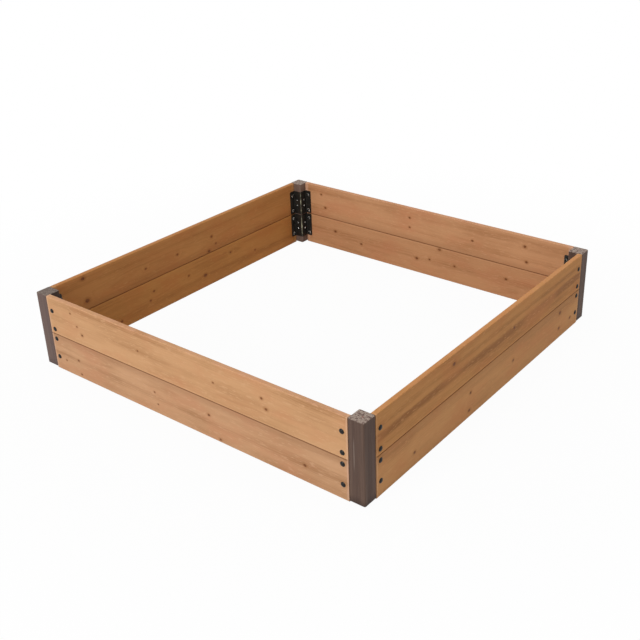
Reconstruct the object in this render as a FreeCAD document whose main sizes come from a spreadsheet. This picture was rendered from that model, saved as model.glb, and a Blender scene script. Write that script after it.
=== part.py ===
import FreeCAD, Part
import functools
import os
import re

import Sketcher

# A square raised garden bed: two courses of boards between four corner posts, held at
# each corner by two stepped steel brackets, with carriage bolts through the board ends
# and screws into the posts. Millimetres. +Z is up, +X runs along the front to the right
# and +Y to the back. The origin is the middle of the bed, at the height it stands on.

DIMENSIONS = {
    "board_length": 1219.0,
    "board_face": 132.5,
    "board_thickness": 17.5,
    "board_edge_radius": 3.0,
    "post_width": 52.0,
    "post_foot_gap": 5.5,
    "post_edge_radius": 5.0,
    "post_top_chamfer": 1.5,
    "bracket_height": 98.0,
    "bracket_gap": 4.0,
    "bracket_thickness": 2.5,
    "bracket_flange": 27.0,
    "bracket_bend_radius": 1.5,
    "bracket_corner_radius": 4.0,
    "bolt_reach": 19.0,
    "bolt_spacing": 66.0,
    "bolt_shank_diameter": 6.2,
    "bolt_length": 32.0,
    "bolt_head_diameter": 16.0,
    "bolt_head_height": 3.8,
    "bolt_head_rim": 0.7,
    "bolt_neck_width": 6.3,
    "bolt_neck_depth": 3.8,
    "bolt_hole_clearance": 0.9,
    "neck_seat_clearance": 0.3,
    "nut_across_flats": 11.1,
    "nut_height": 5.6,
    "nut_thread_clearance": 0.3,
    "screw_spacing": 25.0,
    "screw_shank_diameter": 4.4,
    "screw_length": 16.0,
    "screw_head_diameter": 9.0,
    "screw_head_height": 2.8,
    "screw_head_rim": 0.8,
    "screw_hole_clearance": 0.8,
    "pilot_clearance": 0.3,
    "pilot_extra_depth": 1.0,
}

# Lengths that follow from the driving dimensions.
DERIVED = {
    "bed_height": "2 * board_face",
    "half_side": "board_length / 2 + post_width",
    "post_height": "bed_height - post_foot_gap",
    "post_bare": "post_width - board_thickness",
    "bracket_step": "post_bare + bracket_thickness",
    "bracket_end": "post_bare + bracket_flange",
    "bolt_line": "post_bare + bolt_reach",
    "bracket_outer_radius": "bracket_bend_radius + bracket_thickness",
    "bracket_middle": "board_face - (bracket_gap + bracket_height) / 2",
    "bolt_hole_diameter": "bolt_shank_diameter + bolt_hole_clearance",
    "neck_seat_width": "bolt_neck_width + neck_seat_clearance",
    "neck_seat_depth": "bolt_neck_depth + neck_seat_clearance",
    "nut_bore_diameter": "bolt_shank_diameter + nut_thread_clearance",
    "screw_hole_diameter": "screw_shank_diameter + screw_hole_clearance",
    "pilot_diameter": "screw_shank_diameter + pilot_clearance",
    "pilot_depth": "screw_length - bracket_thickness + pilot_extra_depth",
}

SIDES = ("front", "right", "back", "left")
CORNERS = ("front_left", "front_right", "back_right", "back_left")
QUARTER_TURN = 90.0
HALF_TURN = 180.0
FULL_TURN = 360.0
HEX_SIDES = 6
NEAR = 0.01

# A sketch's own numbers for its axes and for the points of a curve.
X_AXIS, Y_AXIS = range(-1, -3, -1)
START, END, CENTRE = range(1, 4)
ORIGIN_POINT = (X_AXIS, START)

Vector = FreeCAD.Vector
UP = Vector(0, 0, 1)
INWARD = Vector(0, 1, 0)

doc = FreeCAD.newDocument("raised_garden_bed")
sheet = doc.addObject("Spreadsheet::Sheet", "sizes")
working = doc.addObject("Spreadsheet::Sheet", "working")


def fill_sheet():
    """Write the driving dimensions as plain numbers, then the lengths that follow."""
    cells = {alias: str(value) for alias, value in DIMENSIONS.items()}
    cells.update({alias: "=" + formula for alias, formula in DERIVED.items()})
    for row, (alias, content) in enumerate(cells.items(), start=1):
        sheet.set("A%d" % row, alias)
        sheet.set("B%d" % row, content)
        sheet.setAlias("B%d" % row, alias)
    doc.recompute()


ALIASES = re.compile(r"\b(%s)\b" % "|".join([*DIMENSIONS, *DERIVED]))


def on_sheet(formula):
    """The formula with each alias read from the sheet, for setExpression."""
    return ALIASES.sub(r"sizes.\1", formula)


@functools.lru_cache(maxsize=None)
def size(formula):
    """The value of a formula of aliases, in millimetres, from a cell of its own."""
    working.set("A1", "=" + on_sheet(formula))
    working.recompute()
    return float(working.get("A1"))


# Sketch helpers. Every coordinate is a formula of aliases, so the sheet drives it.


def new_sketch(body, name, plane, offset=None):
    """A sketch on one of the body's own origin planes, or parallel to it."""
    sketch = body.newObject("Sketcher::SketchObject", name)
    support = next(f for f in body.Origin.OriginFeatures if f.Role == plane)
    sketch.AttachmentSupport = [(support, "")]
    sketch.MapMode = "FlatFace"
    if offset:
        sketch.setExpression(".AttachmentOffset.Base.z", on_sheet(offset))
    return sketch


def constrain(sketch, kind, where, formula):
    """Add a dimensional constraint that follows the sheet."""
    constraint = Sketcher.Constraint(kind, *where, size(formula))
    index = sketch.addConstraint(constraint)
    sketch.setExpression("Constraints[%d]" % index, on_sheet(formula))


def hold_point(sketch, geometry, point, x=None, y=None):
    """Fix a point's distance from the sketch origin along x, y or both."""
    for axis, kind, formula in ((Y_AXIS, "DistanceX", x), (X_AXIS, "DistanceY", y)):
        if formula is None:
            continue
        if formula == "0":
            sketch.addConstraint(
                Sketcher.Constraint("PointOnObject", geometry, point, axis))
        elif formula.startswith("-"):
            constrain(sketch, kind, (geometry, point, *ORIGIN_POINT), formula[1:])
        else:
            constrain(sketch, kind, (*ORIGIN_POINT, geometry, point), formula)


def chain(sketch, pieces):
    """Add curves that run end to end and close on themselves; give their indices."""
    indices = [sketch.addGeometry(piece) for piece in pieces]
    for here, after in zip(indices, indices[1:] + indices[:1]):
        sketch.addConstraint(
            Sketcher.Constraint("Coincident", here, END, after, START))
    return indices


def stepped_outline(sketch, xs, ys):
    """A closed outline of level lines at ys and upright lines at xs, in turn."""
    following = xs[1:] + xs[:1]
    corners = []
    for here, after, level in zip(xs, following, ys):
        corners += [Vector(size(here), size(level), 0), Vector(size(after), size(level), 0)]
    lines = [Part.LineSegment(a, b) for a, b in zip(corners, corners[1:] + corners[:1])]
    indices = chain(sketch, lines)
    for level_line, level in zip(indices[0::2], ys):
        sketch.addConstraint(Sketcher.Constraint("Horizontal", level_line))
        hold_point(sketch, level_line, START, y=level)
    for upright_line, upright in zip(indices[1::2], following):
        sketch.addConstraint(Sketcher.Constraint("Vertical", upright_line))
        hold_point(sketch, upright_line, START, x=upright)


def rectangle(sketch, left, right, bottom, top):
    stepped_outline(sketch, [left, right], [bottom, top])


def hole(sketch, x, y, diameter):
    """A circle with its centre and diameter on the sheet."""
    radius = size(diameter) / 2
    index = sketch.addGeometry(Part.Circle(Vector(size(x), size(y), 0), UP, radius))
    constrain(sketch, "Diameter", (index,), diameter)
    hold_point(sketch, index, CENTRE, x, y)


# Feature helpers.


def new_body(label):
    body = doc.addObject("PartDesign::Body", label)
    body.Label = label
    return body


def pad(body, name, sketch, length, flip=False):
    feature = body.newObject("PartDesign::Pad", name)
    feature.Profile = sketch
    feature.Reversed = flip
    feature.setExpression("Length", on_sheet(length))
    doc.recompute()
    return feature


def cut(body, name, sketch, depth=None, flip=False):
    """Pocket to a depth, or through everything on both sides of the sketch."""
    before = body.Shape.Volume
    feature = body.newObject("PartDesign::Pocket", name)
    feature.Profile = sketch
    feature.Reversed = flip
    if depth:
        feature.setExpression("Length", on_sheet(depth))
    else:
        feature.Type = "ThroughAll"
        feature.SideType = "Symmetric"
    doc.recompute()
    if not body.Shape.Volume < before:
        raise RuntimeError("%s in %s removes nothing" % (name, body.Label))
    return feature


def dress(body, kind, name, base, edges, property_name, amount):
    """A fillet or chamfer on the edges of the base feature that the test picks."""
    chosen = ["Edge%d" % i for i, e in enumerate(base.Shape.Edges, start=1) if edges(e)]
    feature = body.newObject("PartDesign::" + kind, name)
    feature.Base = (base, chosen)
    feature.setExpression(property_name, on_sheet(amount))
    doc.recompute()
    return feature


def runs_along(edge, axis):
    """Whether an edge is straight and parallel to an axis."""
    if not isinstance(edge.Curve, Part.Line):
        return False
    return edge.Curve.Direction.cross(axis).Length < NEAR


def stands_at(edge, spots):
    """Whether an upright edge passes through one of the (x, y) spots."""
    middle = edge.CenterOfMass
    return runs_along(edge, UP) and any(
        abs(middle.x - x) < NEAR and abs(middle.y - y) < NEAR for x, y in spots)


# Where the fasteners sit.


def pair(middle, spacing):
    """Two formulas, half a spacing below and above the middle."""
    return ["%s + %s * %s / 2" % (middle, sign, spacing) for sign in ("-1", "1")]


def bracket_middles():
    """Heights of the middles of the lower and upper brackets."""
    low = size("bracket_middle")
    return [low, size("bed_height") - low]


def side_placement(quarter, base, rotation=None):
    """A placement given for the front, or the front left corner, turned to another."""
    turn = FreeCAD.Placement(Vector(), FreeCAD.Rotation(UP, QUARTER_TURN * quarter))
    return turn.multiply(FreeCAD.Placement(base, rotation or FreeCAD.Rotation()))


# The pieces.


def make_board(label, quarter, upper):
    """A board with rounded long edges and two bolt holes near each end. Its outer face
    is at y = 0 and its seam edge is on top. The upper one is the same board turned over."""
    body = new_body(label)
    section = new_sketch(body, "section", "YZ_Plane")
    rectangle(section, "0", "board_thickness", "0", "board_face")
    plank = pad(body, "plank", section, "board_length")
    along = Vector(1, 0, 0)
    dress(body, "Fillet", "eased_edges", plank, lambda e: runs_along(e, along),
          "Radius", "board_edge_radius")
    places = [(x, z) for x in ("bolt_reach", "board_length - bolt_reach")
              for z in pair("bracket_middle", "bolt_spacing")]
    drilling = new_sketch(body, "bolt_centres", "XZ_Plane")
    for x, z in places:
        hole(drilling, x, z, "bolt_hole_diameter")
    cut(body, "bolt_holes", drilling)
    seats = new_sketch(body, "neck_outlines", "XZ_Plane")
    for x, z in places:
        half = "neck_seat_width / 2"
        rectangle(seats, "%s - %s" % (x, half), "%s + %s" % (x, half),
                  "%s - %s" % (z, half), "%s + %s" % (z, half))
    cut(body, "neck_seats", seats, "neck_seat_depth")
    half_length = size("board_length / 2")
    outer_face = -size("half_side")
    if upper:
        base = Vector(half_length, outer_face, size("bed_height"))
        turned_over = FreeCAD.Rotation(INWARD, HALF_TURN)
        body.Placement = side_placement(quarter, base, turned_over)
    else:
        body.Placement = side_placement(quarter, Vector(-half_length, outer_face, 0))
    return body


def make_post(label, quarter):
    """A square post with rounded long edges and a chamfered top. Its outer corner is at
    x = 0, y = 0, and the screw holes are in its two bare inner faces."""
    body = new_body(label)
    section = new_sketch(body, "section", "XY_Plane")
    rectangle(section, "0", "post_width", "0", "post_width")
    blank = pad(body, "blank", section, "post_height")
    eased = dress(body, "Fillet", "eased_edges", blank, lambda e: runs_along(e, UP),
                  "Radius", "post_edge_radius")
    top = size("post_height")
    dress(body, "Chamfer", "top_chamfer", eased,
          lambda e: abs(e.BoundBox.ZMin - top) < NEAR, "Size", "post_top_chamfer")
    across = "post_width - post_bare / 2"
    low = "bracket_middle - post_foot_gap"
    high = "bed_height - bracket_middle - post_foot_gap"
    heights = pair(low, "screw_spacing") + pair(high, "screw_spacing")
    faces = (("YZ_Plane", "post_width", False), ("XZ_Plane", "-post_width", True))
    for plane, offset, flip in faces:
        drilling = new_sketch(body, "screw_centres", plane, offset)
        for height in heights:
            hole(drilling, across, height, "pilot_diameter")
        cut(body, "pilot_holes", drilling, "pilot_depth", flip)
    corner = -size("half_side")
    body.Placement = side_placement(quarter, Vector(corner, corner, size("post_foot_gap")))
    return body


def make_bracket(label, quarter, middle):
    """A plate bent in steps: a flange on one board, two legs round the post's inner
    corner and a flange on the other board. x = 0 and y = 0 are the boards' inner faces."""
    body = new_body(label)
    profile = new_sketch(body, "stepped_profile", "XY_Plane")
    xs = ["bracket_end", "post_bare", "0", "bracket_thickness", "bracket_step"]
    ys = ["0", "post_bare", "bracket_end", "bracket_step", "bracket_thickness"]
    stepped_outline(profile, xs, ys)
    strip = pad(body, "strip", profile, "bracket_height")
    bare, step, plate = (size(a) for a in ("post_bare", "bracket_step", "bracket_thickness"))
    insides = [(step, plate), (bare, bare), (plate, step)]
    outsides = [(bare, 0), (step, step), (0, bare)]
    inner = dress(body, "Fillet", "inside_bends", strip,
                  lambda e: stands_at(e, insides), "Radius", "bracket_bend_radius")
    bent = dress(body, "Fillet", "outside_bends", inner,
                 lambda e: stands_at(e, outsides), "Radius", "bracket_outer_radius")
    end = size("bracket_end")

    def at_flange_corner(edge):
        middle_point = edge.CenterOfMass
        short = abs(edge.Length - plate) < NEAR and not runs_along(edge, UP)
        return short and max(middle_point.x, middle_point.y) > end - NEAR

    dress(body, "Fillet", "flange_corners", bent, at_flange_corner,
          "Radius", "bracket_corner_radius")
    half_height = "bracket_height / 2"
    for plane in ("XZ_Plane", "YZ_Plane"):
        drilling = new_sketch(body, "hole_centres", plane)
        for height in pair(half_height, "bolt_spacing"):
            hole(drilling, "bolt_line", height, "bolt_hole_diameter")
        for height in pair(half_height, "screw_spacing"):
            hole(drilling, "post_bare / 2", height, "screw_hole_diameter")
        cut(body, "holes", drilling)
    corner = size("board_thickness - half_side")
    base = Vector(corner, corner, middle - size(half_height))
    body.Placement = side_placement(quarter, base)
    return body


def turn_headed_shank(body, head_radius, head_height, rim, shank_radius, length):
    """Turn a domed head and a shank about the y axis. The head's underside is at y = 0,
    and the shank runs along +y to a flat end."""
    profile = new_sketch(body, "profile", "XY_Plane")
    crown = size(head_height) - size(rim)
    dome_radius = (size(head_radius) ** 2 + crown ** 2) / (2 * crown)
    apex = Vector(0, -size(head_height), 0)
    edge_point = Vector(size(head_radius), -size(rim), 0)
    dome_centre = apex + Vector(0, dome_radius, 0)
    half_way = (apex + edge_point) * 0.5 - dome_centre
    half_way = dome_centre + half_way.normalize() * dome_radius
    points = [edge_point, Vector(size(head_radius), 0, 0), Vector(size(shank_radius), 0, 0),
              Vector(size(shank_radius), size(length), 0), Vector(0, size(length), 0), apex]
    curves = [Part.Arc(apex, half_way, edge_point)]
    curves += [Part.LineSegment(a, b) for a, b in zip(points, points[1:])]
    dome, rim_line, underside, shank, end, axis = chain(profile, curves)
    profile.addConstraint(Sketcher.Constraint("PointOnObject", dome, CENTRE, Y_AXIS))
    hold_point(profile, rim_line, START, head_radius, "-" + rim)
    hold_point(profile, underside, START, head_radius, "0")
    hold_point(profile, shank, START, shank_radius, "0")
    hold_point(profile, end, START, shank_radius, length)
    hold_point(profile, axis, START, "0", length)
    hold_point(profile, axis, END, "0", "-" + head_height)
    turned = body.newObject("PartDesign::Revolution", "turned")
    turned.Profile = profile
    turned.ReferenceAxis = (profile, ["V_Axis"])
    turned.Angle = FULL_TURN
    doc.recompute()


def make_bolt():
    """A carriage bolt: domed head, square neck and round shank."""
    body = new_body("carriage_bolt")
    turn_headed_shank(body, "bolt_head_diameter / 2", "bolt_head_height", "bolt_head_rim",
                      "bolt_shank_diameter / 2", "bolt_length")
    neck = new_sketch(body, "neck_outline", "XZ_Plane")
    half = "bolt_neck_width / 2"
    rectangle(neck, "-" + half, half, "-" + half, half)
    pad(body, "square_neck", neck, "bolt_neck_depth", flip=True)
    return body


def make_screw():
    """A pan head screw."""
    body = new_body("post_screw")
    turn_headed_shank(body, "screw_head_diameter / 2", "screw_head_height",
                      "screw_head_rim", "screw_shank_diameter / 2", "screw_length")
    return body


def make_nut():
    """A hex nut that lies on the plane y = 0 and rises along +y."""
    blank = doc.addObject("Part::Prism", "hexagon")
    blank.Polygon = HEX_SIDES
    blank.setExpression("Circumradius", on_sheet("nut_across_flats / sqrt(3)"))
    bore = doc.addObject("Part::Cylinder", "nut_bore")
    bore.setExpression("Radius", on_sheet("nut_bore_diameter / 2"))
    for piece in (blank, bore):
        piece.setExpression("Height", on_sheet("nut_height"))
        piece.Placement.Rotation = FreeCAD.Rotation(UP, INWARD)
    nut = doc.addObject("Part::Cut", "hex_nut")
    nut.Base = blank
    nut.Tool = bore
    doc.recompute()
    return nut


def make_group(label, piece, quarter, depth, places, rotation=None):
    """Copies of one fastener along a side: depth is its seat's distance from the bed's
    outer face, and each place is its x along the side and its height."""
    seat = depth - size("half_side")
    copies = []
    for x, z in places:
        placement = side_placement(quarter, Vector(x, seat, z), rotation)
        copies.append(piece.Shape.transformed(placement.toMatrix()))
    group = doc.addObject("Part::Feature", label)
    group.Label = label
    group.Shape = Part.makeCompound(copies)
    return group


def both_ends(distance, spacing):
    """Places at a distance each side of the middle, a pair in each bracket."""
    x = size(distance)
    half = size(spacing) / 2
    return [(side * x, middle + step) for side in (-1, 1)
            for middle in bracket_middles() for step in (-half, half)]


def build():
    """Make every sub-part, and give the list of them."""
    nodes = []
    for quarter, (side, corner) in enumerate(zip(SIDES, CORNERS)):
        nodes.append(make_board(side + "_lower_board", quarter, upper=False))
        nodes.append(make_board(side + "_upper_board", quarter, upper=True))
        nodes.append(make_post(corner + "_post", quarter))
        low, high = bracket_middles()
        nodes.append(make_bracket(corner + "_lower_bracket", quarter, low))
        nodes.append(make_bracket(corner + "_upper_bracket", quarter, high))
    bolt, nut, screw = make_bolt(), make_nut(), make_screw()
    outward = FreeCAD.Rotation(UP, HALF_TURN)
    bolt_places = both_ends("board_length / 2 - bolt_reach", "bolt_spacing")
    screw_places = both_ends("half_side - board_thickness - post_bare / 2", "screw_spacing")
    nut_seat = size("board_thickness + bracket_thickness")
    screw_seat = size("post_width + bracket_thickness")
    for quarter, side in enumerate(SIDES):
        nodes.append(make_group(side + "_carriage_bolts", bolt, quarter, 0, bolt_places))
        nodes.append(make_group(side + "_hex_nuts", nut, quarter, nut_seat, bolt_places))
        nodes.append(make_group(side + "_post_screws", screw, quarter, screw_seat,
                                screw_places, outward))
    return nodes


def check_and_write(nodes):
    """Stop if anything failed to build, then write one STEP file for each sub-part."""
    doc.recompute()
    for item in doc.Objects:
        if "Invalid" in item.State or "Error" in item.State:
            raise RuntimeError("%s did not build: %s" % (item.Label, item.State))
    os.makedirs("parts", exist_ok=True)
    for node in nodes:
        if node.Shape.isNull() or not node.Shape.isValid():
            raise RuntimeError("%s has no valid shape" % node.Label)
    for node in nodes:
        node.Shape.exportStep("parts/%s.step" % node.Label)
        print(node.Label, len(node.Shape.Solids), "solids, %.0f mm3" % node.Shape.Volume)


fill_sheet()
check_and_write(build())
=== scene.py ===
import math

import bpy
from mathutils import Matrix, Vector


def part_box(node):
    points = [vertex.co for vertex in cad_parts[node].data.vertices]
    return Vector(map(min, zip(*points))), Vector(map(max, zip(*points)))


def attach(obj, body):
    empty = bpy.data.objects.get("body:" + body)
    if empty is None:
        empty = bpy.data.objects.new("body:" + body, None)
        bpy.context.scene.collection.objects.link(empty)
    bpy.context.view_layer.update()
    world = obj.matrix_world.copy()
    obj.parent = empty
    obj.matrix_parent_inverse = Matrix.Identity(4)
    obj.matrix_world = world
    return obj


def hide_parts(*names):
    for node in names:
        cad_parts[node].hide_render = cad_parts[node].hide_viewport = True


# A square raised garden bed. Metres, +Z up, the front side faces -Y. Its boards, posts and
# brackets keep their built shapes and get their finishes here. The bolts, nuts and screws
# are modelled here in full, with their domes, threads and drives.

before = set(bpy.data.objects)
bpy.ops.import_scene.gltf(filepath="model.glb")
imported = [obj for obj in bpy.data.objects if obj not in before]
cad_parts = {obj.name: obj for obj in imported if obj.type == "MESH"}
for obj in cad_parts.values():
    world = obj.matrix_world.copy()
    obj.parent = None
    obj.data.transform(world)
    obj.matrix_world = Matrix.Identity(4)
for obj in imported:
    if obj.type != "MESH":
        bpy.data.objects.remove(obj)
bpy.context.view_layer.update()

MM = 0.001
SIDES = ("front", "right", "back", "left")
CORNERS = ("front_left", "front_right", "back_right", "back_left")
TURN = 2 * math.pi

# Sizes that the built shapes already have.
board_low, board_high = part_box("front_lower_board")
post_low, post_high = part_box("front_left_post")
bracket_low, bracket_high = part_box("front_left_lower_bracket")

HALF_SIDE = -board_low.y
THICKNESS = board_high.y - board_low.y
HALF_LENGTH = board_high.x
BOARD_FACE = board_high.z - board_low.z
BED_HEIGHT = post_high.z
POST_WIDTH = post_high.x - post_low.x
PLATE = 2.5 * MM
BRACKET_MIDDLES = ((bracket_low.z + bracket_high.z) / 2,
                   BED_HEIGHT - (bracket_low.z + bracket_high.z) / 2)

# Fasteners.
BOLT_REACH = 19 * MM
BOLT_SPACING = 66 * MM
BOLT_HEAD_RADIUS = 8 * MM
BOLT_HEAD_HEIGHT = 3.8 * MM
BOLT_HEAD_RIM = 0.7 * MM
BOLT_SHANK_RADIUS = 3.1 * MM
BOLT_LENGTH = 32 * MM
BOLT_NECK = 6.3 * MM
BOLT_NECK_DEPTH = 3.8 * MM
BOLT_PITCH = 1.27 * MM
BOLT_THREADED = 14 * MM
BOLT_THREAD_DEPTH = 0.45 * MM
BOLT_CORE_RADIUS = BOLT_SHANK_RADIUS - 0.35 * MM
NUT_ACROSS_FLATS = 11.1 * MM
NUT_HEIGHT = 5.6 * MM
NUT_CHAMFER = 0.7 * MM
SCREW_SPACING = 25 * MM
SCREW_HEAD_RADIUS = 4.5 * MM
SCREW_HEAD_HEIGHT = 2.8 * MM
SCREW_HEAD_RIM = 0.8 * MM
SCREW_SHANK_RADIUS = 2.2 * MM
SCREW_LENGTH = 16 * MM
SCREW_POINT = 3 * MM
SCREW_PITCH = 1.6 * MM
SCREW_THREAD_DEPTH = 0.6 * MM
SCREW_CORE_RADIUS = SCREW_SHANK_RADIUS - 0.6 * MM
CROSS_LENGTH = 4.6 * MM
CROSS_WIDTH = 1 * MM
CROSS_DEPTH = 1.7 * MM

# How far the parts of one fastener reach into each other.
OVERLAP = 0.2 * MM
# How far a cutting tool reaches past what it cuts.
PAST = 1 * MM
# A side's nuts and screws are each turned by this angle times their number squared, so
# that no two stand alike. Radians.
COPY_TURN = 0.7
# Straight sides of a full circle.
ROUND = 40


# Finishes.


class Field:
    """A value that varies over a surface. Arithmetic on it adds Math nodes."""

    def __init__(self, finish, socket):
        self.finish = finish
        self.socket = socket

    def math(self, operation, first, second=0.0):
        return self.finish.add("ShaderNodeMath", {"operation": operation},
                               {0: first, 1: second})

    def __add__(self, other):
        return self.math("ADD", self, other)

    def __sub__(self, other):
        return self.math("SUBTRACT", self, other)

    def __rsub__(self, other):
        return self.math("SUBTRACT", other, self)

    def __mul__(self, other):
        return self.math("MULTIPLY", self, other)

    def __truediv__(self, other):
        return self.math("DIVIDE", self, other)

    def __pow__(self, other):
        return self.math("POWER", self, other)

    def __abs__(self):
        return self.math("ABSOLUTE", self)

    def larger(self, other):
        return self.math("MAXIMUM", self, other)

    def fraction(self):
        return self.math("FRACT", self)

    def whole(self):
        return self.math("FLOOR", self)

    __radd__ = __add__
    __rmul__ = __mul__


class Finish:
    """A material, built up from nodes on the object's own coordinates."""

    def __init__(self, name):
        self.material = bpy.data.materials.new(name)
        self.material.use_nodes = True
        self.tree = self.material.node_tree
        self.tree.nodes.clear()
        self.shader = self.tree.nodes.new("ShaderNodeBsdfPrincipled")
        self.output = self.tree.nodes.new("ShaderNodeOutputMaterial")
        self.tree.links.new(self.shader.outputs[0], self.output.inputs["Surface"])

    def feed(self, socket, value):
        if isinstance(value, Field):
            self.tree.links.new(value.socket, socket)
        else:
            socket.default_value = value

    def add(self, kind, settings=None, sockets=None, output=0):
        """Add a node: its settings first, then the values or links of its sockets."""
        node = self.tree.nodes.new(kind)
        for name, value in (settings or {}).items():
            setattr(node, name, value)
        for socket, value in (sockets or {}).items():
            self.feed(node.inputs[socket], value)
        return Field(self, node.outputs[output])

    def surface(self, **sockets):
        """Set or link the shader's own sockets, with underscores for spaces."""
        for name, value in sockets.items():
            self.feed(self.shader.inputs[name.replace("_", " ")], value)

    def place(self, quarter=0):
        """Object coordinates, turned so that a side reads as the front side does."""
        coordinates = self.add("ShaderNodeTexCoord", output="Object")
        return self.add("ShaderNodeMapping", None,
                        {"Vector": coordinates, "Rotation": (0, 0, -quarter * TURN / 4)})

    def axes(self, vector):
        parts = self.add("ShaderNodeSeparateXYZ", None, {"Vector": vector})
        outputs = parts.socket.node.outputs
        return [Field(self, outputs[name]) for name in ("X", "Y", "Z")]

    def point(self, x, y, z):
        return self.add("ShaderNodeCombineXYZ", None, {"X": x, "Y": y, "Z": z})

    def noise(self, vector, scale, detail=2.0, roughness=0.5, seed=0.0):
        """Noise from 0 to 1, squeezed along each axis by scale."""
        where = self.add("ShaderNodeMapping", None,
                         {"Vector": vector, "Scale": scale, "Location": (seed, -seed, seed)})
        return self.add("ShaderNodeTexNoise", {"noise_dimensions": "3D"},
                        {"Vector": where, "Scale": 1.0, "Detail": detail,
                         "Roughness": roughness})

    def step(self, value, start, end, low=0.0, high=1.0):
        """Go smoothly from low to high as the value goes from start to end."""
        return self.add("ShaderNodeMapRange", {"interpolation_type": "SMOOTHSTEP"},
                        {"Value": value, "From Min": start, "From Max": end,
                         "To Min": low, "To Max": high})

    def mix(self, factor, first, second):
        """Mix two colours."""
        return self.add("ShaderNodeMix", {"data_type": "RGBA"},
                        {0: factor, 6: first, 7: second}, output=2)

    def distance(self, first, second):
        return self.add("ShaderNodeVectorMath", {"operation": "DISTANCE"},
                        {0: first, 1: second}, output="Value")

    def bump(self, height, distance, strength):
        return self.add("ShaderNodeBump", None,
                        {"Height": height, "Distance": distance, "Strength": strength})


def colour(red, green, blue):
    """A screen colour, 0 to 255, as the linear colour that a shader takes."""
    linear = [((c / 255 + 0.055) / 1.055) ** 2.4 for c in (red, green, blue)]
    return (*linear, 1.0)


def tinted(tone, red, green, blue):
    """A screen colour with each of its linear parts made stronger or weaker."""
    return (*(part * by for part, by in zip(colour(*tone), (red, green, blue))), 1.0)


# Each board: its middle tone, the tree's heart (inward and up from the board's middle),
# bands (height, half width, how much darker, or below 0 paler) and knots (along, height,
# radius). Lengths are in mm. Along is from the side's middle, to the right as seen from
# outside.
# The tones differ partly as boards do and partly as painted light: the front boards' are
# paler for the sheen on the lit front, and the left boards' darker for the shade on their
# inner faces.
BOARDS = {
    "front_upper": {
        "tone": (196, 150, 108), "heart": (70, -18),
        "bands": ((255, 9, 0.3), (196, 11, 0.2)),
        "knots": ((-495, 235, 3), (-470, 195, 3), (-450, 170, 5), (-185, 200, 3),
                  (130, 200, 3), (315, 215, 4), (330, 185, 5))},
    "front_lower": {
        "tone": (192, 148, 111), "heart": (-60, 30),
        "bands": ((60, 13, 0.3), (20, 10, 0.2)),
        "knots": ((-555, 45, 3), (-490, 65, 4), (-485, 15, 3), (-130, 75, 3),
                  (-120, 35, 3), (100, 80, 4), (140, 10, 4), (460, 55, 5))},
    "right_upper": {
        "tone": (192, 136, 81), "heart": (55, -10),
        "bands": ((188, 12, 1.0), (224, 9, 0.4), (172, 28, 0.3)),
        "knots": ((-230, 232, 7), (130, 190, 5))},
    "right_lower": {
        "tone": (201, 147, 95), "heart": (-75, -26),
        "bands": ((104, 12, 0.3),),
        "knots": ((-430, 45, 5), (-130, 85, 5), (-135, 25, 5), (135, 70, 5),
                  (465, 100, 7), (465, 40, 6), (550, 45, 5))},
    "back_upper": {
        "tone": (195, 144, 103), "heart": (-65, 20),
        "bands": ((240, 12, 0.35), (170, 14, 0.25)),
        "knots": ((525, 230, 4), (505, 175, 5), (80, 225, 4), (80, 185, 4),
                  (-205, 195, 4), (-425, 225, 5), (-435, 165, 5))},
    "back_lower": {
        "tone": (184, 134, 94), "heart": (90, -34),
        "bands": ((70, 14, 0.3),),
        "knots": ((455, 80, 6), (320, 55, 4), (45, 60, 6), (-15, 70, 4),
                  (-60, 124, 6), (-130, 70, 4), (-355, 75, 5))},
    "left_upper": {
        "tone": (175, 121, 68), "heart": (-55, -24),
        "bands": ((228, 12, 0.25), (262, 7, -0.8)),
        "knots": ((490, 250, 6), (485, 165, 8), (220, 185, 4), (65, 185, 4),
                  (-115, 195, 5), (-135, 160, 4), (-95, 141, 6))},
    "left_lower": {
        "tone": (172, 118, 62), "heart": (65, 22),
        "bands": ((36, 14, 0.3),),
        "knots": ((-65, 50, 7), (-350, 55, 4), (195, 85, 4), (215, 55, 4),
                  (20, 80, 4), (-210, 95, 4), (355, 30, 4))},
}

# Growth rings' widths.
BOARD_RING = 4.6 * MM
POST_RING = 4.2 * MM
# Knots are longer along the board than across it.
KNOT_SQUEEZE = 0.8
# A knot's core, its halo and its bend of the rings: each fades from the first of these
# shares of the knot's radius to the second.
KNOT_FADES = ((0.55, 1.1), (0.8, 2.4), (0.6, 5.0))
# The paler strip at a board's sawn ends.
END_STRIP = 7 * MM
END_STRIP_INSIDE = 18 * MM


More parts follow.
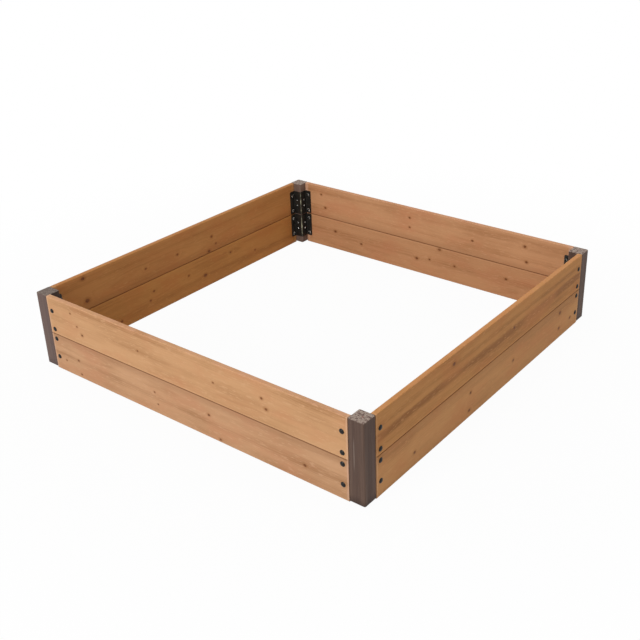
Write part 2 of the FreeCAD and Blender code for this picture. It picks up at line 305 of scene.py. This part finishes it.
def board_finish(name, quarter, seed, tone, heart, bands, knots):
    """Planed softwood under a thin stain: growth rings cut by the board's face, fibres,
    knots that the rings flow round, stain gathered in the seam, and rubbed edges."""
    wood = Finish(name)
    place = wood.place(quarter)
    x, y, z = wood.axes(place)
    upper = "_upper" in name
    middle = BOARD_FACE * (1.5 if upper else 0.5)
    wander = wood.noise(place, (1.6, 0.4, 0.4), 2.0, 0.5, seed) - 0.5
    lean = wood.noise(place, (2.3, 0.5, 0.5), 2.0, 0.5, seed + 9) - 0.5
    ruffle = wood.noise(place, (9, 40, 40), 3.0, 0.55, seed + 4) - 0.5

    # Knots: how near each point is to one, as a core, a halo and a bend of the rings.
    flat = wood.point(x * KNOT_SQUEEZE, 0.0, z)
    marks = [0.0] * len(KNOT_FADES)
    for along, height, radius in knots:
        reach = wood.distance(flat, (along * MM * KNOT_SQUEEZE, 0.0, height * MM))
        reach = reach + ruffle * (radius * 0.7 * MM)
        for index, (start, end) in enumerate(KNOT_FADES):
            near = wood.step(reach, radius * start * MM, radius * end * MM, 1.0, 0.0)
            marks[index] = near.larger(marks[index])
    core, halo, bend = marks

    # Growth rings round the tree's heart, each year's with its own strength.
    inward = y + (HALF_SIDE - THICKNESS / 2 - heart[0] * MM) + wander * 0.030
    upward = z - (middle + heart[1] * MM) + lean * 0.045
    radius = (inward * inward + upward * upward) ** 0.5
    years = (radius + bend * 0.007 + ruffle * 0.0016) / BOARD_RING
    age = years.fraction()
    late = wood.step(age, 0.3, 0.85) * wood.step(age, 0.85, 1.0, 1.0, 0.0)
    year = wood.noise(wood.point(years.whole() * 0.37, seed, 0.0), (1, 1, 1), 0.0)
    late = late * wood.step(year, 0.25, 0.75, 0.3, 1.0)

    # Fibres, streaks, clouds and dark bands darken the tone. Blushes are pinker and flecks
    # are pale.
    fibre = wood.noise(place, (14, 900, 900), 3.0, 0.65, seed + 2)
    streak = wood.noise(place, (2.2, 60, 60), 4.0, 0.6, seed + 6)
    cloud = wood.noise(place, (3.5, 9, 9), 3.0, 0.55, seed + 8)
    blush = wood.noise(place, (6, 14, 14), 2.0, 0.5, seed + 3)
    dark = late * 0.17 + wood.step(streak, 0.35, 0.75, 0.0, 0.24) + (fibre - 0.5) * 0.24
    for height, width, strength in bands:
        off = abs(z - height * MM + wander * 0.020) / (width * MM)
        dark = dark + wood.step(off, 0.2, 1.6, strength * 0.75, 0.0) * (streak + 0.45)
    dark = dark + wood.step(cloud, 0.35, 0.7, -0.06, 0.24)
    shade = wood.mix(wood.step(dark, -0.05, 1.0), tinted(tone, 1.16, 1.16, 1.16),
                     tinted(tone, 0.66, 0.55, 0.42))
    shade = wood.mix(wood.step(blush, 0.45, 0.72, 0.0, 0.6), shade,
                     tinted(tone, 1.08, 0.9, 0.88))
    fleck = wood.noise(place, (38, 240, 240), 2.0, 0.6, seed + 12)
    shade = wood.mix(wood.step(fleck, 0.56, 0.68, 0.0, 0.6), shade,
                     tinted(tone, 1.24, 1.3, 1.4))
    shade = wood.mix(halo * 0.5, shade, tinted(tone, 0.66, 0.5, 0.36))
    shade = wood.mix(core * 0.78, shade, colour(112, 62, 28))
    speck = wood.noise(place, (260, 260, 260), 2.0, 0.5, seed)
    shade = wood.mix(core * wood.step(speck, 0.5, 0.65, 0.0, 0.8), shade, colour(62, 34, 18))

    # Stain gathers in the seam. Beside it, one board has a painted highlight where its
    # rounded lip catches the light, and the other board has painted shade for a few
    # centimetres.
    inside = wood.step(y, THICKNESS * 0.6 - HALF_SIDE, THICKNESS * 0.8 - HALF_SIDE)
    seam = abs(z - BOARD_FACE) + ruffle * 0.0012
    painted_shade_side, painted_highlight_side = (inside, 1.0 - inside) if upper else (1.0 - inside, inside)
    # Painted highlight on the lip, just past the seam's stain.
    painted_lip_highlight = wood.step(seam, 2.4 * MM, 3.6 * MM) * wood.step(seam, 5 * MM, 9 * MM, 0.4, 0.0)
    shade = wood.mix(painted_lip_highlight * painted_highlight_side, shade, tinted(tone, 1.3, 1.34, 1.38))
    # Painted shade on the other board, fading over a few centimetres from the seam.
    painted_seam_shade = wood.step(seam, 2 * MM, 36 * MM, 0.3, 0.0) * painted_shade_side
    shade = wood.mix(painted_seam_shade, shade, tinted(tone, 0.42, 0.3, 0.22))
    stain = wood.step(seam, 1.0 * MM, 3.0 * MM, 0.58, 0.0)
    shade = wood.mix(stain, shade, tinted(tone, 0.3, 0.2, 0.12))

    # The top edge is paler, partly rubbed and partly a painted highlight where the top
    # catches the light, with small pale chips along its corners.
    worn = wood.noise(place, (30, 30, 30), 3.0, 0.6, seed + 5)
    chip = wood.noise(place, (110, 300, 300), 2.0, 0.6, seed + 7)
    if upper:
        crest_wear_and_highlight = wood.step(z, BED_HEIGHT - 3.4 * MM, BED_HEIGHT - 0.6 * MM)
        shade = wood.mix(crest_wear_and_highlight * wood.step(worn, 0.35, 0.65, 0.1, 0.8), shade,
                         tinted(tone, 1.14, 1.09, 1.25))
        corner = crest_wear_and_highlight * wood.step(z, BED_HEIGHT - 0.9 * MM, BED_HEIGHT - 0.2 * MM, 1.0, 0.0)
        shade = wood.mix(corner * wood.step(chip, 0.56, 0.64, 0.0, 0.7), shade,
                         tinted(tone, 1.4, 1.5, 1.75))

    # Paler, pinker wood at the sawn ends, wider on the inner face.
    margin = inside * (END_STRIP_INSIDE - END_STRIP) + END_STRIP
    end = (abs(x) + ruffle * 0.006 - HALF_LENGTH) / margin
    shade = wood.mix(wood.step(end, -1.0, -0.6) * (inside * 0.25 + 0.5), shade,
                     tinted(tone, 1.3, 1.45, 1.9))

    relief = late * -0.35 + (fibre - 0.5) * 0.5 + core * 0.4 + (worn - 0.5) * 0.3
    wood.surface(Base_Color=shade,
                 Roughness=wood.step(dark, 0.0, 1.0, 0.64, 0.56) - core * 0.08,
                 Specular_IOR_Level=0.16,
                 Normal=wood.bump(relief, 0.35 * MM, 0.6))
    return wood.material


def post_finish():
    """Square posts in a thick dark stain that has worn along the grain, and open end
    grain on top, which took less of it."""
    wood = Finish("dark_stained_post")
    place = wood.place()
    x, y, z = wood.axes(place)
    streak = wood.noise(place, (150, 150, 2.6), 3.0, 0.6)
    broad = wood.noise(place, (48, 48, 1.8), 2.0, 0.5, 3.0)
    fibre = wood.noise(place, (900, 900, 16), 2.0, 0.6, 7.0)
    scuff = wood.noise(place, (420, 420, 5.5), 3.0, 0.65, 5.0)
    side = wood.mix(wood.step(broad, 0.3, 0.7), colour(88, 68, 59), colour(108, 86, 74))
    side = wood.mix(wood.step(streak, 0.45, 0.75, 0.0, 0.4), side, colour(120, 98, 85))
    side = wood.mix(wood.step(streak, 0.22, 0.42, 0.4, 0.0), side, colour(66, 50, 43))
    side = wood.mix(wood.step(scuff, 0.66, 0.76, 0.0, 0.5), side, colour(150, 132, 118))
    side = wood.mix(wood.step(fibre, 0.35, 0.75, 0.0, 0.2), side, colour(68, 54, 48))

    # A darker foot, and one pale scratch down the front right post.
    foot = wood.step(z + (broad - 0.5) * 0.02, 6 * MM, 34 * MM, 0.55, 0.0)
    side = wood.mix(foot, side, colour(52, 38, 34))
    scratch = abs(x - (HALF_SIDE - 33 * MM) + (scuff - 0.5) * 0.004)
    scratch = wood.step(scratch, 0.3 * MM, 1.8 * MM, 1.0, 0.0)
    scratch = scratch * wood.step(abs(z - 160 * MM), 20 * MM, 60 * MM, 0.4, 0.0)
    side = wood.mix(scratch * wood.step(y, -0.2, -0.1, 1.0, 0.0), side,
                    colour(165, 148, 135))

    # Painted shade: the front left post is darker on its face toward the front right one. It
    # is also darker on top, and greyer elsewhere. Painted light: the back left post's sides
    # are paler.
    near, far = 0.4 - 2 * HALF_SIDE, 0.5 - 2 * HALF_SIDE
    left_front = wood.step(x + y, near, far, 1.0, 0.0)
    back_left_painted_light = wood.step(x - y, near, far, 1.0, 0.0)
    from_inner_face = abs(x) + (POST_WIDTH - HALF_SIDE)
    inner = wood.step(from_inner_face, 0.5 * MM, 3.0 * MM, 1.0, 0.0)
    # Painted shade on the front left post's inner face.
    side = wood.mix(inner * left_front * 0.7, side, colour(52, 40, 35))
    side = wood.mix(back_left_painted_light * 0.35, side, colour(150, 128, 116))
    side = wood.mix((1.0 - inner) * left_front * 0.3, side, colour(122, 106, 106))

    # End grain: rings round a heart outside the post's own section, pores, specks, and a
    # red spot of resin on the front right post.
    across = abs(x) - (HALF_SIDE - POST_WIDTH * 0.9)
    deep = abs(y) - (HALF_SIDE + POST_WIDTH * 0.35)
    waver = wood.noise(place, (60, 60, 60), 3.0, 0.6, 2.0) - 0.5
    radius = (across * across + deep * deep) ** 0.5 + waver * 0.004
    ring = wood.step((radius / POST_RING).fraction(), 0.4, 0.95)
    pores = wood.noise(place, (620, 620, 60), 3.0, 0.7, 4.0)
    specks = wood.noise(place, (130, 130, 30), 3.0, 0.65, 6.0)
    top = wood.mix(wood.step(pores, 0.34, 0.62), colour(104, 86, 77), colour(196, 177, 162))
    top = wood.mix(ring * 0.3, top, colour(100, 80, 68))
    top = wood.mix(wood.step(specks, 0.51, 0.57, 0.0, 0.8), top, colour(84, 57, 50))
    resin = wood.distance(wood.point(x, y, 0.0), (HALF_SIDE - POST_WIDTH * 0.42,
                                                  POST_WIDTH * 0.5 - HALF_SIDE, 0.0))
    resin = resin + waver * 0.004
    top = wood.mix(wood.step(resin, 2 * MM, 5 * MM, 0.6, 0.0), top, colour(122, 58, 42))
    top = wood.mix(left_front * 0.6, top, colour(84, 74, 68))
    sawn = wood.step(z, BED_HEIGHT - 1.5 * MM, BED_HEIGHT - 0.4 * MM)
    shade = wood.mix(sawn, side, top)

    relief = (streak - 0.5) * 0.6 + (fibre - 0.5) * 0.3 + (pores - 0.5) * 0.4 * sawn
    wood.surface(Base_Color=shade,
                 Roughness=wood.step(scuff, 0.3, 0.7, 0.5, 0.68),
                 Specular_IOR_Level=0.18,
                 Normal=wood.bump(relief, 0.5 * MM, 0.7))
    return wood.material


def coated_steel(steel, place, tone, bare, rub_and_painted_glint, grain):
    """Black coated steel with a fine skin and a dull film. Where the mask is high, bare
    bright steel is painted: rubbed steel, and painted glints and highlights."""
    skin = steel.noise(place, (grain, grain, grain), 2.0, 0.5)
    film = steel.noise(place, (45, 45, 45), 4.0, 0.6, 3.0)
    shade = steel.mix(steel.step(film, 0.45, 0.75, 0.0, 0.6), colour(*tone),
                      tinted(tone, 2.2, 1.9, 1.5))
    steel.surface(Base_Color=steel.mix(rub_and_painted_glint, shade, colour(*bare)),
                  Metallic=rub_and_painted_glint * 0.5,
                  Roughness=steel.step(film, 0.3, 0.7, 0.3, 0.46) - rub_and_painted_glint * 0.1,
                  Specular_IOR_Level=0.22,
                  Normal=steel.bump(skin, 0.12 * MM, 0.35))
    return steel.material


def bracket_finish():
    """Coated plate with a painted highlight along the bend that goes round the post's inner
    corner, laid on as bare bright steel in patches, brightest near each bracket's middle
    height.
    """
    steel = Finish("black_coated_plate")
    place = steel.place()
    x, y, z = steel.axes(place)
    bend = HALF_SIDE - POST_WIDTH - PLATE
    off = abs(abs(x) - bend) + abs(abs(y) - bend)
    patches = steel.noise(place, (20, 20, 38), 3.0, 0.6, 8.0)
    # Painted highlight along the outer bend, in patches, fading away from each bracket's
    # middle height.
    rub_and_painted_glint = steel.step(off, 2.2 * MM, 3.4 * MM, 1.0, 0.0)
    rub_and_painted_glint = rub_and_painted_glint * steel.step(patches, 0.35, 0.6, 0.1, 0.8)
    height = abs(abs(z - BED_HEIGHT / 2) - (BED_HEIGHT / 2 - BRACKET_MIDDLES[0]))
    rub_and_painted_glint = rub_and_painted_glint * steel.step(height, 18 * MM, 46 * MM, 1.0, 0.1)
    return coated_steel(steel, place, (36, 34, 31), (218, 217, 182), rub_and_painted_glint, 900)


def fastener_finish(name, quarter, crown_depth, strength):
    """Coated steel, rubbed where a spanner or a driver bears, with painted glints in patches
    on the rubbed crowns, most at the back left corner. The crown's depth is from the side's
    outer face inward."""
    steel = Finish(name)
    place = steel.place(quarter)
    y = steel.axes(place)[1]
    patches = steel.noise(place, (240, 240, 240), 3.0, 0.6, 8.0)
    rub_and_painted_glint = steel.step(abs(y + (HALF_SIDE - crown_depth)), 0.7 * MM, 1.6 * MM, 1.0, 0.0)
    rub_and_painted_glint = rub_and_painted_glint * steel.step(patches, 0.43, 0.53) * strength
    # Painted glints: strongest at the back left corner, weaker at the other corners.
    bed_x, bed_y = steel.axes(steel.place())[:2]
    rub_and_painted_glint = rub_and_painted_glint * steel.step(bed_y - bed_x, 0.3, 0.9, 0.3, 1.0)
    return coated_steel(steel, place, (20, 19, 17), (232, 232, 226), rub_and_painted_glint, 1400)


def wear(piece, finish):
    """Put one finish on a piece, in place of any that it has."""
    piece.data.materials.clear()
    piece.data.materials.append(finish)


# Modelling by hand: a primitive, shaped in edit mode.


def deselect():
    bpy.ops.object.select_all(action="DESELECT")


def activate(*pieces):
    """Select these pieces only. The first is the active one."""
    deselect()
    for piece in pieces:
        piece.select_set(True)
    bpy.context.view_layer.objects.active = pieces[0]


def added(name):
    """Name the primitive that was added last."""
    piece = bpy.context.object
    piece.name = name
    piece.data.name = name
    return piece


def settle(piece):
    """Move the object's place, turn and scale into its mesh."""
    activate(piece)
    bpy.ops.object.transform_apply(location=True, rotation=True, scale=True)


def cylinder(name, radius, bottom, top, sides=ROUND):
    deselect()
    bpy.ops.mesh.primitive_cylinder_add(vertices=sides, radius=radius, depth=top - bottom,
                                        location=(0, 0, (bottom + top) / 2))
    piece = added(name)
    settle(piece)
    return piece


def block(name, width, depth, bottom, top):
    deselect()
    bpy.ops.mesh.primitive_cube_add(size=1, location=(0, 0, (bottom + top) / 2))
    piece = added(name)
    piece.scale = (width, depth, top - bottom)
    settle(piece)
    return piece


def pick_faces(piece, test):
    """Enter edit mode with only the faces that pass the test selected."""
    activate(piece)
    bpy.ops.object.mode_set(mode="EDIT")
    bpy.ops.mesh.select_mode(type="FACE")
    bpy.ops.mesh.select_all(action="DESELECT")
    bpy.ops.object.mode_set(mode="OBJECT")
    for face in piece.data.polygons:
        face.select = test(face)
    bpy.ops.object.mode_set(mode="EDIT")


def finish_editing():
    bpy.ops.object.mode_set(mode="OBJECT")


def faces_up(face):
    return face.normal.z > 0.99


def faces_down(face):
    return face.normal.z < -0.99


def crown(piece, radius, rise, steps=6):
    """Raise the top face of a round piece into a shallow dome, ring by ring. The last
    ring leaves a small flat in the middle."""
    ball = (radius ** 2 + rise ** 2) / (2 * rise)
    reach = math.asin(min(1.0, radius / ball))
    pick_faces(piece, faces_up)
    last_radius, last_height = radius, 0.0
    for step in range(1, steps + 1):
        angle = reach * (1 - step / (steps + 0.6))
        ring_radius = ball * math.sin(angle)
        height = ball * math.cos(angle) - (ball - rise)
        bpy.ops.mesh.inset(thickness=last_radius - ring_radius, depth=0)
        bpy.ops.transform.translate(value=(0, 0, height - last_height))
        last_radius, last_height = ring_radius, height
    finish_editing()


def taper(piece, test, height, share):
    """Pull the faces that pass the test out along z, and shrink them to a share."""
    pick_faces(piece, test)
    bpy.ops.mesh.extrude_region_move(TRANSFORM_OT_translate={"value": (0, 0, height)})
    bpy.ops.transform.resize(value=(share, share, 1))
    finish_editing()


def rounded_rim(piece, width):
    """Round the sharp edges of a piece a little."""
    rim = piece.modifiers.new("rim", "BEVEL")
    rim.width = width
    rim.segments = 2
    rim.limit_method = "ANGLE"
    activate(piece)
    bpy.ops.object.modifier_apply(modifier=rim.name)


def carve(piece, tool, how="DIFFERENCE"):
    """Cut the tool out of the piece, or keep what they share."""
    cutting = piece.modifiers.new("cutting", "BOOLEAN")
    cutting.object = tool
    cutting.operation = how
    cutting.solver = "EXACT"
    activate(piece)
    bpy.ops.object.modifier_apply(modifier=cutting.name)
    bpy.data.objects.remove(tool)


def thread_ridge(name, radius, depth, pitch, start, end):
    """A three-sided ridge wound round the z axis, with both of its ends closed."""
    deselect()
    bpy.ops.mesh.primitive_circle_add(vertices=3, radius=depth, fill_type="NOTHING",
                                      location=(radius - depth * 0.5, 0, start))
    ridge = added(name)
    ridge.rotation_euler = (TURN / 4, TURN / 4, 0)
    settle(ridge)
    wind = ridge.modifiers.new("wind", "SCREW")
    wind.axis = "Z"
    wind.angle = TURN
    wind.screw_offset = pitch
    wind.iterations = max(1, round((end - start) / pitch))
    wind.steps = 18
    wind.render_steps = 18
    wind.use_merge_vertices = True
    bpy.ops.object.modifier_apply(modifier=wind.name)
    bpy.ops.object.mode_set(mode="EDIT")
    bpy.ops.mesh.select_all(action="SELECT")
    bpy.ops.mesh.fill_holes(sides=4)
    bpy.ops.mesh.select_all(action="SELECT")
    bpy.ops.mesh.normals_make_consistent(inside=False)
    finish_editing()
    return ridge


def together(*pieces):
    activate(*pieces)
    bpy.ops.object.join()
    return pieces[0]


def model_bolt():
    """A carriage bolt along z: the head above z = 0, neck and shank below."""
    head = cylinder("bolt_pattern", BOLT_HEAD_RADIUS, 0, BOLT_HEAD_RIM)
    crown(head, BOLT_HEAD_RADIUS, BOLT_HEAD_HEIGHT - BOLT_HEAD_RIM)
    neck = block("neck", BOLT_NECK, BOLT_NECK, -BOLT_NECK_DEPTH, OVERLAP)
    rounded_rim(neck, 0.4 * MM)
    shank = cylinder("shank", BOLT_CORE_RADIUS, -BOLT_LENGTH, -1 * MM)
    rounded_rim(shank, 0.5 * MM)
    ridge = thread_ridge("ridge", BOLT_SHANK_RADIUS - 0.2 * MM, BOLT_THREAD_DEPTH, BOLT_PITCH,
                         -BOLT_LENGTH + 0.8 * MM, -BOLT_LENGTH + BOLT_THREADED)
    return together(head, neck, shank, ridge)


def model_nut():
    """A hex nut along z, standing on z = 0, its corners turned down to a cone at both
    ends."""
    corner = NUT_ACROSS_FLATS / math.sqrt(3)
    nut = cylinder("nut_pattern", corner, 0, NUT_HEIGHT, 6)
    reach = corner * 1.02
    turned = cylinder("turned", reach, NUT_CHAMFER, NUT_HEIGHT - NUT_CHAMFER)
    share = 1 - NUT_CHAMFER * math.sqrt(3) / reach
    taper(turned, faces_up, NUT_CHAMFER, share)
    taper(turned, faces_down, -NUT_CHAMFER, share)
    carve(nut, turned, "INTERSECT")
    bore = cylinder("bore", BOLT_SHANK_RADIUS - 0.1 * MM, -PAST, NUT_HEIGHT + PAST)
    carve(nut, bore)
    return nut


def model_screw():
    """A pan head screw along z: the head above z = 0 with a cross drive, and the
    threaded shank and its point below."""
    head = cylinder("screw_pattern", SCREW_HEAD_RADIUS, 0, SCREW_HEAD_RIM, 32)
    crown(head, SCREW_HEAD_RADIUS, SCREW_HEAD_HEIGHT - SCREW_HEAD_RIM, 5)
    for width, depth, foot in ((CROSS_LENGTH, CROSS_WIDTH, (0.45, 0.8, 1)),
                               (CROSS_WIDTH, CROSS_LENGTH, (0.8, 0.45, 1))):
        slot = block("slot", width, depth, SCREW_HEAD_HEIGHT - CROSS_DEPTH,
                     SCREW_HEAD_HEIGHT + PAST)
        pick_faces(slot, faces_down)
        bpy.ops.transform.resize(value=foot)
        finish_editing()
        carve(head, slot)
    shank = cylinder("shank", SCREW_CORE_RADIUS, SCREW_POINT - SCREW_LENGTH, OVERLAP, 20)
    taper(shank, faces_down, -SCREW_POINT, 0.12)
    ridge = thread_ridge("ridge", SCREW_SHANK_RADIUS - 0.3 * MM, SCREW_THREAD_DEPTH,
                         SCREW_PITCH, -SCREW_LENGTH + SCREW_POINT, -1.5 * MM)
    return together(head, shank, ridge)


HEAD_OUT, HEAD_IN = 1, -1


def side_matrix(quarter, x, depth, z, facing):
    """Where a fastener goes: its seat's depth in from a side's outer face, and whether
    its head, which is along its z axis, faces outward or inward."""
    tip = Matrix.Rotation(facing * TURN / 4, 4, "X")
    seat = Matrix.Translation((x, depth - HALF_SIDE, z))
    return Matrix.Rotation(quarter * TURN / 4, 4, "Z") @ seat @ tip


def both_ends(distance, spacing):
    """Places along a side: a pair on each bracket, at each end of the side."""
    return [(end * distance, middle + step) for end in (-1, 1)
            for middle in BRACKET_MIDDLES for step in (-spacing / 2, spacing / 2)]


def drive(quarter, pattern, name, node, places, depth, facing, crown_depth, strength, turn):
    """Copy one fastener to every place along a side, as one piece with its own mesh. The
    copies are turned by different angles, unless the turn is 0."""
    name, node = (SIDES[quarter] + "_" + word for word in (name, node))
    finish = fastener_finish(name + "_steel", quarter, crown_depth, strength)
    copies = []
    for index, (x, z) in enumerate(places):
        copy = pattern.copy()
        copy.data = pattern.data.copy()
        bpy.context.scene.collection.objects.link(copy)
        copy.data.transform(Matrix.Rotation(turn * index * index, 4, "Z"))
        copy.data.transform(side_matrix(quarter, x, depth, z, facing))
        copies.append(copy)
    piece = together(*copies)
    piece.name = name
    wear(piece, finish)
    activate(piece)
    bpy.ops.object.shade_smooth_by_angle(angle=math.radians(32))
    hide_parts(node)
    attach(piece, "root")


def dress_built_shapes():
    """Give the boards, posts and brackets their finishes."""
    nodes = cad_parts
    for quarter, side in enumerate(SIDES):
        for course in ("upper", "lower"):
            key = side + "_" + course
            seed = 11.3 * quarter + (5.7 if course == "upper" else 0.0)
            finish = board_finish(key + "_board_wood", quarter, seed, **BOARDS[key])
            wear(nodes[key + "_board"], finish)
    post = post_finish()
    plate = bracket_finish()
    for corner in CORNERS:
        wear(nodes[corner + "_post"], post)
        for course in ("upper", "lower"):
            wear(nodes["%s_%s_bracket" % (corner, course)], plate)


def fit_fasteners():
    """Model one bolt, nut and screw, and copy them to every place round the bed."""
    bolt, nut, screw = model_bolt(), model_nut(), model_screw()
    bolts = both_ends(HALF_LENGTH - BOLT_REACH, BOLT_SPACING)
    bare = POST_WIDTH - THICKNESS
    screws = both_ends(HALF_SIDE - THICKNESS - bare / 2, SCREW_SPACING)
    nut_seat = THICKNESS + PLATE
    screw_seat = POST_WIDTH + PLATE
    # A bolt's square neck stays in line with its seat, so it isn't turned.
    kinds = (
        {"pattern": bolt, "name": "domed_bolts", "node": "carriage_bolts", "places": bolts,
         "depth": 0.0, "facing": HEAD_OUT, "crown_depth": -BOLT_HEAD_HEIGHT, "strength": 0.0,
         "turn": 0.0},
        {"pattern": nut, "name": "turned_nuts", "node": "hex_nuts", "places": bolts,
         "depth": nut_seat, "facing": HEAD_IN, "crown_depth": nut_seat + NUT_HEIGHT,
         "strength": 1.0, "turn": COPY_TURN},
        {"pattern": screw, "name": "driven_screws", "node": "post_screws", "places": screws,
         "depth": screw_seat, "facing": HEAD_IN,
         "crown_depth": screw_seat + SCREW_HEAD_HEIGHT, "strength": 1.0, "turn": COPY_TURN},
    )
    for quarter in range(len(SIDES)):
        for kind in kinds:
            drive(quarter, **kind)
    for kind in kinds:
        bpy.data.objects.remove(kind["pattern"])


# The camera, where the photograph was taken from.
CAMERA_PLACE = Vector((1.8598, -2.2461, 1.6042))
CAMERA_AZIMUTH = math.radians(36.83)
CAMERA_ELEVATION = math.radians(25.70)
CAMERA_ROLL = math.radians(-0.967)
IMAGE_PIXELS = 640
FOCAL_PIXELS = 950.7
CENTRE_OFFSET_PIXELS = (45, -34)
SENSOR = 36.0


def set_camera():
    data = bpy.data.cameras.new("camera")
    data.sensor_width = SENSOR
    data.lens = SENSOR * FOCAL_PIXELS / IMAGE_PIXELS
    data.shift_x = -CENTRE_OFFSET_PIXELS[0] / IMAGE_PIXELS
    data.shift_y = CENTRE_OFFSET_PIXELS[1] / IMAGE_PIXELS
    camera = bpy.data.objects.new("camera", data)
    bpy.context.scene.collection.objects.link(camera)
    level = math.cos(CAMERA_ELEVATION)
    ahead = Vector((-math.sin(CAMERA_AZIMUTH) * level, math.cos(CAMERA_AZIMUTH) * level,
                    -math.sin(CAMERA_ELEVATION)))
    right = Vector((math.cos(CAMERA_AZIMUTH), math.sin(CAMERA_AZIMUTH), 0))
    above = right.cross(ahead)
    cos_roll, sin_roll = math.cos(CAMERA_ROLL), math.sin(CAMERA_ROLL)
    rolled_right = right * cos_roll + above * sin_roll
    rolled_above = above * cos_roll - right * sin_roll
    turn = Matrix((rolled_right, rolled_above, -ahead)).transposed()
    camera.matrix_world = Matrix.Translation(CAMERA_PLACE) @ turn.to_4x4()
    bpy.context.scene.camera = camera


def soft_lamp(name, place, aim, size, power):
    data = bpy.data.lights.new(name, "AREA")
    data.shape = "DISK"
    data.size = size
    data.energy = power
    lamp = bpy.data.objects.new(name, data)
    bpy.context.scene.collection.objects.link(lamp)
    place, aim = Vector(place), Vector(aim)
    lamp.matrix_world = (Matrix.Translation(place)
                         @ (aim - place).to_track_quat("-Z", "Y").to_matrix().to_4x4())


def seen_directly(tree):
    """1 for what the camera sees, straight or in a reflection, and 0 for other light."""
    path = tree.nodes.new("ShaderNodeLightPath")
    total = path.outputs["Is Camera Ray"]
    for name in ("Is Glossy Ray", "Is Transmission Ray"):
        larger = tree.nodes.new("ShaderNodeMath")
        larger.operation = "MAXIMUM"
        tree.links.new(total, larger.inputs[0])
        tree.links.new(path.outputs[name], larger.inputs[1])
        total = larger.outputs[0]
    return total


ROOM_LIGHT = 0.37
FLOOR_SIZE = 60
FLOOR_DROP = 0.2 * MM
WHITE = (1, 1, 1, 1)


def set_studio():
    """A pale floor that fades to white, an even room and large soft lamps."""
    deselect()
    bpy.ops.mesh.primitive_plane_add(size=FLOOR_SIZE, location=(0, 0, -FLOOR_DROP))
    floor = added("floor")
    settle(floor)
    finish = Finish("pale_floor")
    finish.surface(Base_Color=(0.7, 0.7, 0.7, 1), Roughness=0.9, Specular_IOR_Level=0.0)
    seen = Field(finish, seen_directly(finish.tree))
    away = finish.distance(finish.place(), (0.0, 0.0, 0.0))
    glow = finish.add("ShaderNodeEmission", None, {"Color": WHITE})
    blend = finish.add("ShaderNodeMixShader", None,
                       {0: seen * finish.step(away, 0.6, 2.2, 0.96, 1.0),
                        1: Field(finish, finish.shader.outputs[0]), 2: glow})
    finish.tree.links.new(blend.socket, finish.output.inputs["Surface"])
    wear(floor, finish.material)

    world = bpy.data.worlds.new("studio")
    bpy.context.scene.world = world
    world.use_nodes = True
    tree = world.node_tree
    background = tree.nodes["Background"]
    strength = tree.nodes.new("ShaderNodeMapRange")
    tree.links.new(seen_directly(tree), strength.inputs["Value"])
    strength.inputs["To Min"].default_value = ROOM_LIGHT
    strength.inputs["To Max"].default_value = 1.0
    background.inputs["Color"].default_value = WHITE
    tree.links.new(strength.outputs[0], background.inputs["Strength"])

    soft_lamp("key", (-0.2, -4.9, 2.5), (0, 0, 0.1), 2.0, 130)
    soft_lamp("fill", (4.8, 1.6, 2.4), (0, 0, 0.1), 1.2, 20)
    soft_lamp("back", (0.4, 4.8, 2.6), (0, 0, 0.1), 1.6, 24)
    soft_lamp("top", (0.0, 0.2, 4.6), (0, 0, 0), 3.0, 52)


set_camera()
set_studio()
dress_built_shapes()
fit_fasteners()
bpy.context.scene.view_settings.view_transform = "Standard"
